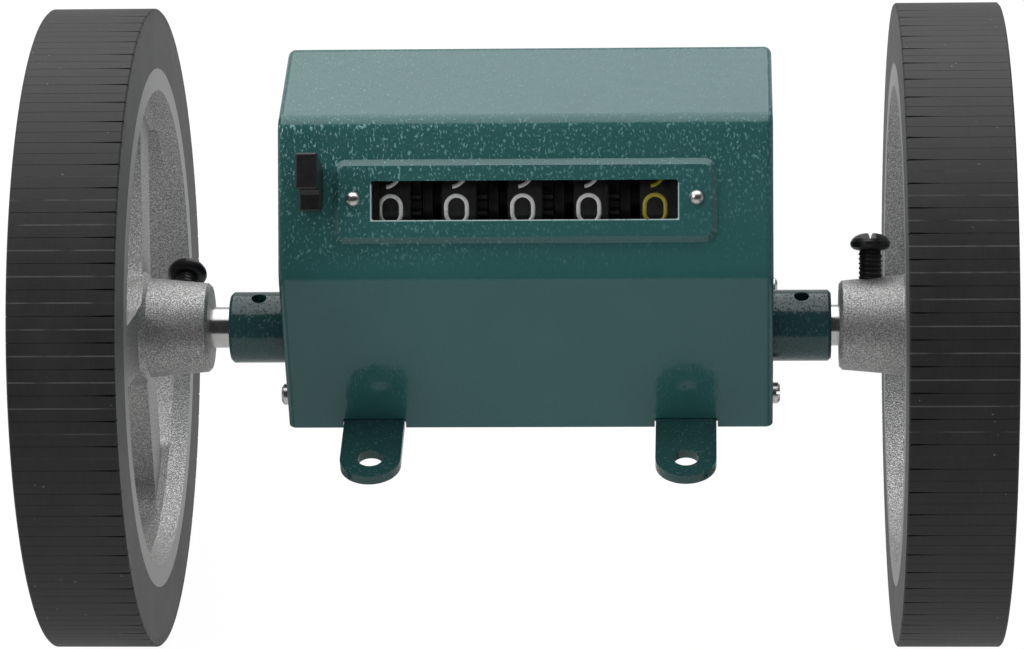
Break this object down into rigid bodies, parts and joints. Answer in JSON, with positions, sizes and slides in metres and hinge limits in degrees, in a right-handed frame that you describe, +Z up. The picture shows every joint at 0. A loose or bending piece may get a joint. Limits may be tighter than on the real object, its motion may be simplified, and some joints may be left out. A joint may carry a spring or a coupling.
{
  "type": "cable length counter",
  "caption": "Rolling length counter: rubber-tyred wheels on a shared axle drive digit drums behind a sloping window, with a reset lever and foot tabs.",
  "frame": {"origin": "centre of the four foot holes on the underside of the base plate", "axes": "+X along the axle to the right, +Y to the rear, +Z up; the window faces -Y and +Z"},
  "size_m": [0.1557, 0.106, 0.1062],
  "materials": {
    "green_paint": "glossy hammered enamel",
    "bright_steel": "turned and ground",
    "sheet_steel": "zinc-plated sheet",
    "gear_brass": "machined",
    "cast_aluminium": "sand cast, faces turned",
    "tread_rubber": "moulded, matt",
    "black_steel": "blackened",
    "black_plastic": "moulded, satin",
    "drum_plastic": "moulded, black with printed digits",
    "white_plastic": "moulded"
  },
  "bodies": {
    "housing": {"base_plate": "green_paint", "cover": "green_paint", "left_bearing": "green_paint", "right_bearing": "green_paint", "window_rivets": "bright_steel", "cover_screws": "bright_steel", "counter_frame": "sheet_steel", "pinion_shaft": "bright_steel", "reduction_stud": "bright_steel", "stud_clip": "bright_steel", "reset_spring": "bright_steel"},
    "rolling_axle": {"axle": "bright_steel", "axle_gear": "gear_brass", "axle_clips": "bright_steel", "left_wheel": "cast_aluminium", "right_wheel": "cast_aluminium", "left_tyre": "tread_rubber", "right_tyre": "tread_rubber", "left_set_screw": "black_steel", "right_set_screw": "black_steel"},
    "reduction": {"reduction_gear": "gear_brass"},
    "drum_1": {"digit_drum_1": "drum_plastic", "drum_shaft": "bright_steel", "drum_shaft_clip": "bright_steel", "input_gear": "gear_brass"},
    "reset": {"reset_shaft": "bright_steel", "reset_shaft_clip": "bright_steel", "reset_fingers": "bright_steel", "reset_lever": "black_plastic"},
    "drum_2": {"digit_drum_2": "drum_plastic"},
    "drum_3": {"digit_drum_3": "drum_plastic"},
    "drum_4": {"digit_drum_4": "drum_plastic"},
    "drum_5": {"digit_drum_5": "drum_plastic"},
    "pinion_1": {"transfer_pinion_1": "white_plastic"},
    "pinion_2": {"transfer_pinion_2": "white_plastic"},
    "pinion_3": {"transfer_pinion_3": "white_plastic"},
    "pinion_4": {"transfer_pinion_4": "white_plastic"}
  },
  "joints": [
    {"name": "axle_spin", "type": "hinge", "parent": "housing", "child": "rolling_axle", "pos_m": [0, -0.0083, 0.0127], "axis": [1, 0, 0], "continuous": true},
    {"name": "reduction_spin", "type": "hinge", "parent": "housing", "child": "reduction", "pos_m": [0, 0.00406, 0.02009], "axis": [1, 0, 0], "continuous": true},
    {"name": "drum_1_spin", "type": "hinge", "parent": "housing", "child": "drum_1", "pos_m": [0, -0.00249, 0.03359], "axis": [1, 0, 0], "continuous": true},
    {"name": "drum_2_spin", "type": "hinge", "parent": "housing", "child": "drum_2", "pos_m": [0, -0.00249, 0.03359], "axis": [1, 0, 0], "continuous": true},
    {"name": "drum_3_spin", "type": "hinge", "parent": "housing", "child": "drum_3", "pos_m": [0, -0.00249, 0.03359], "axis": [1, 0, 0], "continuous": true},
    {"name": "drum_4_spin", "type": "hinge", "parent": "housing", "child": "drum_4", "pos_m": [0, -0.00249, 0.03359], "axis": [1, 0, 0], "continuous": true},
    {"name": "drum_5_spin", "type": "hinge", "parent": "housing", "child": "drum_5", "pos_m": [0, -0.00249, 0.03359], "axis": [1, 0, 0], "continuous": true},
    {"name": "pinion_1_spin", "type": "hinge", "parent": "housing", "child": "pinion_1", "pos_m": [0, 0.00833, 0.03649], "axis": [1, 0, 0], "continuous": true},
    {"name": "pinion_2_spin", "type": "hinge", "parent": "housing", "child": "pinion_2", "pos_m": [0, 0.00833, 0.03649], "axis": [1, 0, 0], "continuous": true},
    {"name": "pinion_3_spin", "type": "hinge", "parent": "housing", "child": "pinion_3", "pos_m": [0, 0.00833, 0.03649], "axis": [1, 0, 0], "continuous": true},
    {"name": "pinion_4_spin", "type": "hinge", "parent": "housing", "child": "pinion_4", "pos_m": [0, 0.00833, 0.03649], "axis": [1, 0, 0], "continuous": true},
    {"name": "reset_lift", "type": "hinge", "parent": "housing", "child": "reset", "pos_m": [0, -0.00224, 0.04623], "axis": [-1, 0, 0], "range_deg": [0, 18], "stiffness_Nm_per_rad": 0.004}
  ],
  "couplings": [
    {"joint": "reduction_spin", "follows": "axle_spin", "ratio": -0.5},
    {"joint": "drum_1_spin", "follows": "axle_spin", "ratio": 0.33333},
    {"joint": "drum_2_spin", "follows": "axle_spin", "ratio": 0.033333},
    {"joint": "drum_3_spin", "follows": "axle_spin", "ratio": 0.0033333},
    {"joint": "drum_4_spin", "follows": "axle_spin", "ratio": 0.00033333},
    {"joint": "drum_5_spin", "follows": "axle_spin", "ratio": 0.000033333},
    {"joint": "pinion_1_spin", "follows": "axle_spin", "ratio": -0.083333},
    {"joint": "pinion_2_spin", "follows": "axle_spin", "ratio": -0.0083333},
    {"joint": "pinion_3_spin", "follows": "axle_spin", "ratio": -0.00083333},
    {"joint": "pinion_4_spin", "follows": "axle_spin", "ratio": -0.000083333}
  ]
}
